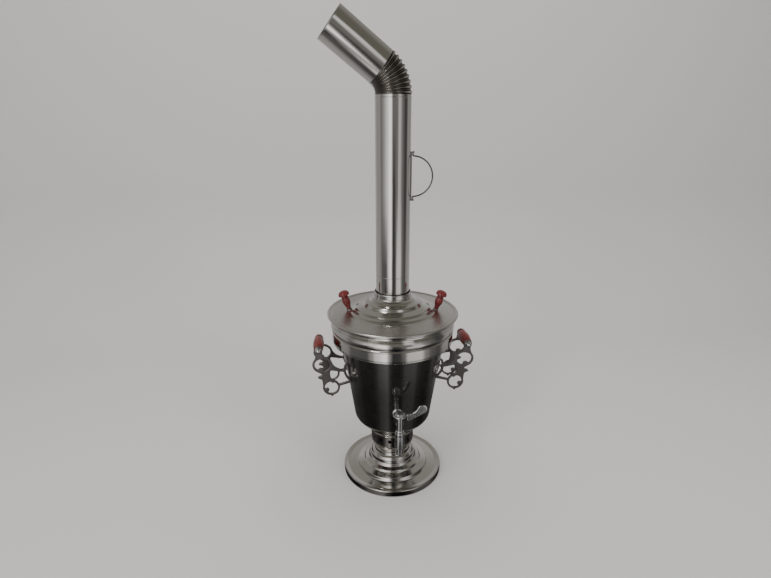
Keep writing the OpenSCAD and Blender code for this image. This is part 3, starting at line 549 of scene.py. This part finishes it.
# Brightness of the room round the samovar, by azimuth in degrees from the tap towards the right:
# its walls up to the lamps' height, and the floor beyond the table.
WALLS = ((-180, 0.40), (-158, 0.56), (-125, 0.34), (-100, 0.36), (-84, 0.22), (-66, 0.40),
         (-50, 0.78), (-38, 1.15), (-28, 1.75), (-18, 1.65), (-10, 0.36), (-4, 0.05), (4, 0.07),
         (11, 0.18), (24, 0.26), (31, 0.70), (40, 0.62), (50, 0.28), (62, 0.16), (78, 0.07),
         (88, 0.09), (100, 0.34), (125, 0.32), (158, 0.56), (180, 0.40))
GROUND = ((-180, 0.40), (-125, 0.40), (-95, 0.32), (-82, 0.14), (-52, 0.12), (-42, 0.40),
          (-34, 1.10), (-18, 1.80), (-11, 0.40), (-5, 0.06), (5, 0.07), (14, 0.20), (22, 0.85),
          (44, 0.95), (54, 0.30), (66, 0.14), (84, 0.10), (98, 0.34), (140, 0.45), (180, 0.40))
FRONT_ABOVE = (0.165, 0.16, 0.135)
BACK_ABOVE = (0.30, 0.29, 0.27)
WINDOW = (0.95, 0.94, 0.92)      # the tall bright patch on the right of the tap
FRONT_WALL = (0.21, 0.20, 0.19)  # straight in front of the tap, above the darker part
ROOM_R = 1.8
ROOM_TOP = 2.4
CARD_Z = 0.002                   # the floor cards lie this far above the floor
CARD_HOLE = 0.004                # and start this far from the axis
ROOM_STEPS = 96


def room_ramp(g, share, stops):
    """Colour round the room: each stop is an azimuth and a brightness, warmed a little."""
    ramp = g.add("ValToRGB")
    ramp.color_ramp.interpolation = "EASE"
    marks = ramp.color_ramp.elements
    while len(marks) < len(stops):
        marks.new(0.5)
    for mark, (angle, value) in zip(marks, stops):
        mark.position = (angle + 180) / 360
        mark.color = (value, value * 0.985, value * 0.96, 1)
    g.put(ramp.inputs[0], share)
    return ramp.outputs["Color"]


def room_paint():
    """Light of the cards: a dark table close by, patches of window light and a dim ceiling."""
    g = Graph("room_paint")
    x, y, z = g.split(g.place)
    azimuth = g.math("ARCTAN2", x, g.math("MULTIPLY", y, -1))
    share = g.math("ADD", g.math("MULTIPLY", azimuth, 0.5 / pi), 0.5, clamp=True)
    reach = g.length(x, y)

    def patch(middle, half, edge):
        """1 within half of an azimuth, 0 from edge on, in degrees."""
        return g.span(g.away(azimuth, radians(middle)), radians(half), radians(edge), 1.0, 0.0)

    table = g.math("MULTIPLY", g.span(reach, 0.32, 0.85, 0.16, 1.0),
                   g.span(reach, 0.09, 0.14, 0.1, 1.0))
    shade = g.math("MAXIMUM", g.span(reach, 0.86, 0.96, 1.0, 0.34),
                   g.span(reach, 1.32, 1.45, 0.34, 1.0))
    elsewhere = g.span(g.away(azimuth, radians(-34)), radians(22), radians(30), 0.0, 1.0)
    ground = g.mix(g.math("MAXIMUM", shade, elsewhere), (0, 0, 0), room_ramp(g, share, GROUND))
    sides = g.mix(g.span(z, 0.02, 0.4), ground, room_ramp(g, share, WALLS))
    sides = g.mix(g.math("MULTIPLY", patch(2, 8, 16), g.span(z, 0.45, 0.85)), sides, FRONT_WALL)
    above = g.mix(g.span(y, -0.2, 1.0), FRONT_ABOVE, BACK_ABOVE)
    above = g.mix(g.math("MULTIPLY", patch(24, 5, 13), g.span(z, 1.75, 2.05, 1.0, 0.0)), above,
                  WINDOW)
    light = g.add("Emission")
    g.put(light.inputs["Color"], g.mix(g.span(z, 0.95, 1.5), sides, above))
    g.put(light.inputs["Strength"], table)
    out = next(n for n in g.tree.nodes if n.bl_idname == "ShaderNodeOutputMaterial")
    g.put(out.inputs["Surface"], light.outputs[0])
    return g.material


def make_room():
    """Cards that only reflections see: the room round about, which gives the metal its streaks."""
    line = [(r, CARD_Z) for r in (CARD_HOLE, 0.12, 0.35, 0.7, ROOM_R)]
    line += [(ROOM_R, 0.4), (ROOM_R, 1.4), (ROOM_R, ROOM_TOP), (0.01, ROOM_TOP)]
    turns = [2 * pi * k / ROOM_STEPS for k in range(ROOM_STEPS)]
    points = [(r * sin(a), -r * cos(a), z) for r, z in line for a in turns]
    faces = []
    for i in range(len(line) - 1):
        for k in range(ROOM_STEPS):
            a, b = i * ROOM_STEPS + k, i * ROOM_STEPS + (k + 1) % ROOM_STEPS
            faces.append((a, b, b + ROOM_STEPS, a + ROOM_STEPS))
    room = stage_object("room_cards", points, faces, room_paint())
    room.data.polygons.foreach_set("use_smooth", [False] * len(room.data.polygons))
    room.visible_camera = False
    room.visible_diffuse = False
    room.visible_shadow = False
    room.visible_transmission = False


def make_world():
    """Even, slightly warm light from all round."""
    world = bpy.data.worlds.new("studio")
    scene.world = world
    world.use_nodes = True
    back = world.node_tree.nodes["Background"]
    back.inputs["Color"].default_value = (0.50, 0.495, 0.485, 1)
    back.inputs["Strength"].default_value = 1.0


def softbox(name, at, aim, width, height, watts, colour=(1, 1, 1), mirrored=False):
    """A rectangular lamp; the metal shows it only where it is mirrored."""
    data = bpy.data.lights.new(name, "AREA")
    data.shape = "RECTANGLE"
    data.size, data.size_y = width, height
    data.energy = watts
    data.color = colour
    lamp = bpy.data.objects.new(name, data)
    lamp.location = at
    lamp.rotation_euler = (Vector(aim) - Vector(at)).to_track_quat("-Z", "Y").to_euler()
    lamp.visible_glossy = mirrored
    scene.collection.objects.link(lamp)


TANK_MIDDLE = (0, 0, 0.35)

make_backdrop()
make_room()
make_world()
softbox("key", (-1.35, -1.45, 1.75), TANK_MIDDLE, 0.55, 0.9, 16, (1, 0.985, 0.96), mirrored=True)
softbox("fill", (1.25, -1.45, 1.6), TANK_MIDDLE, 0.45, 0.8, 9)
softbox("over", (0.0, 0.1, 2.5), (0, 0, 0), 2.4, 1.8, 22)
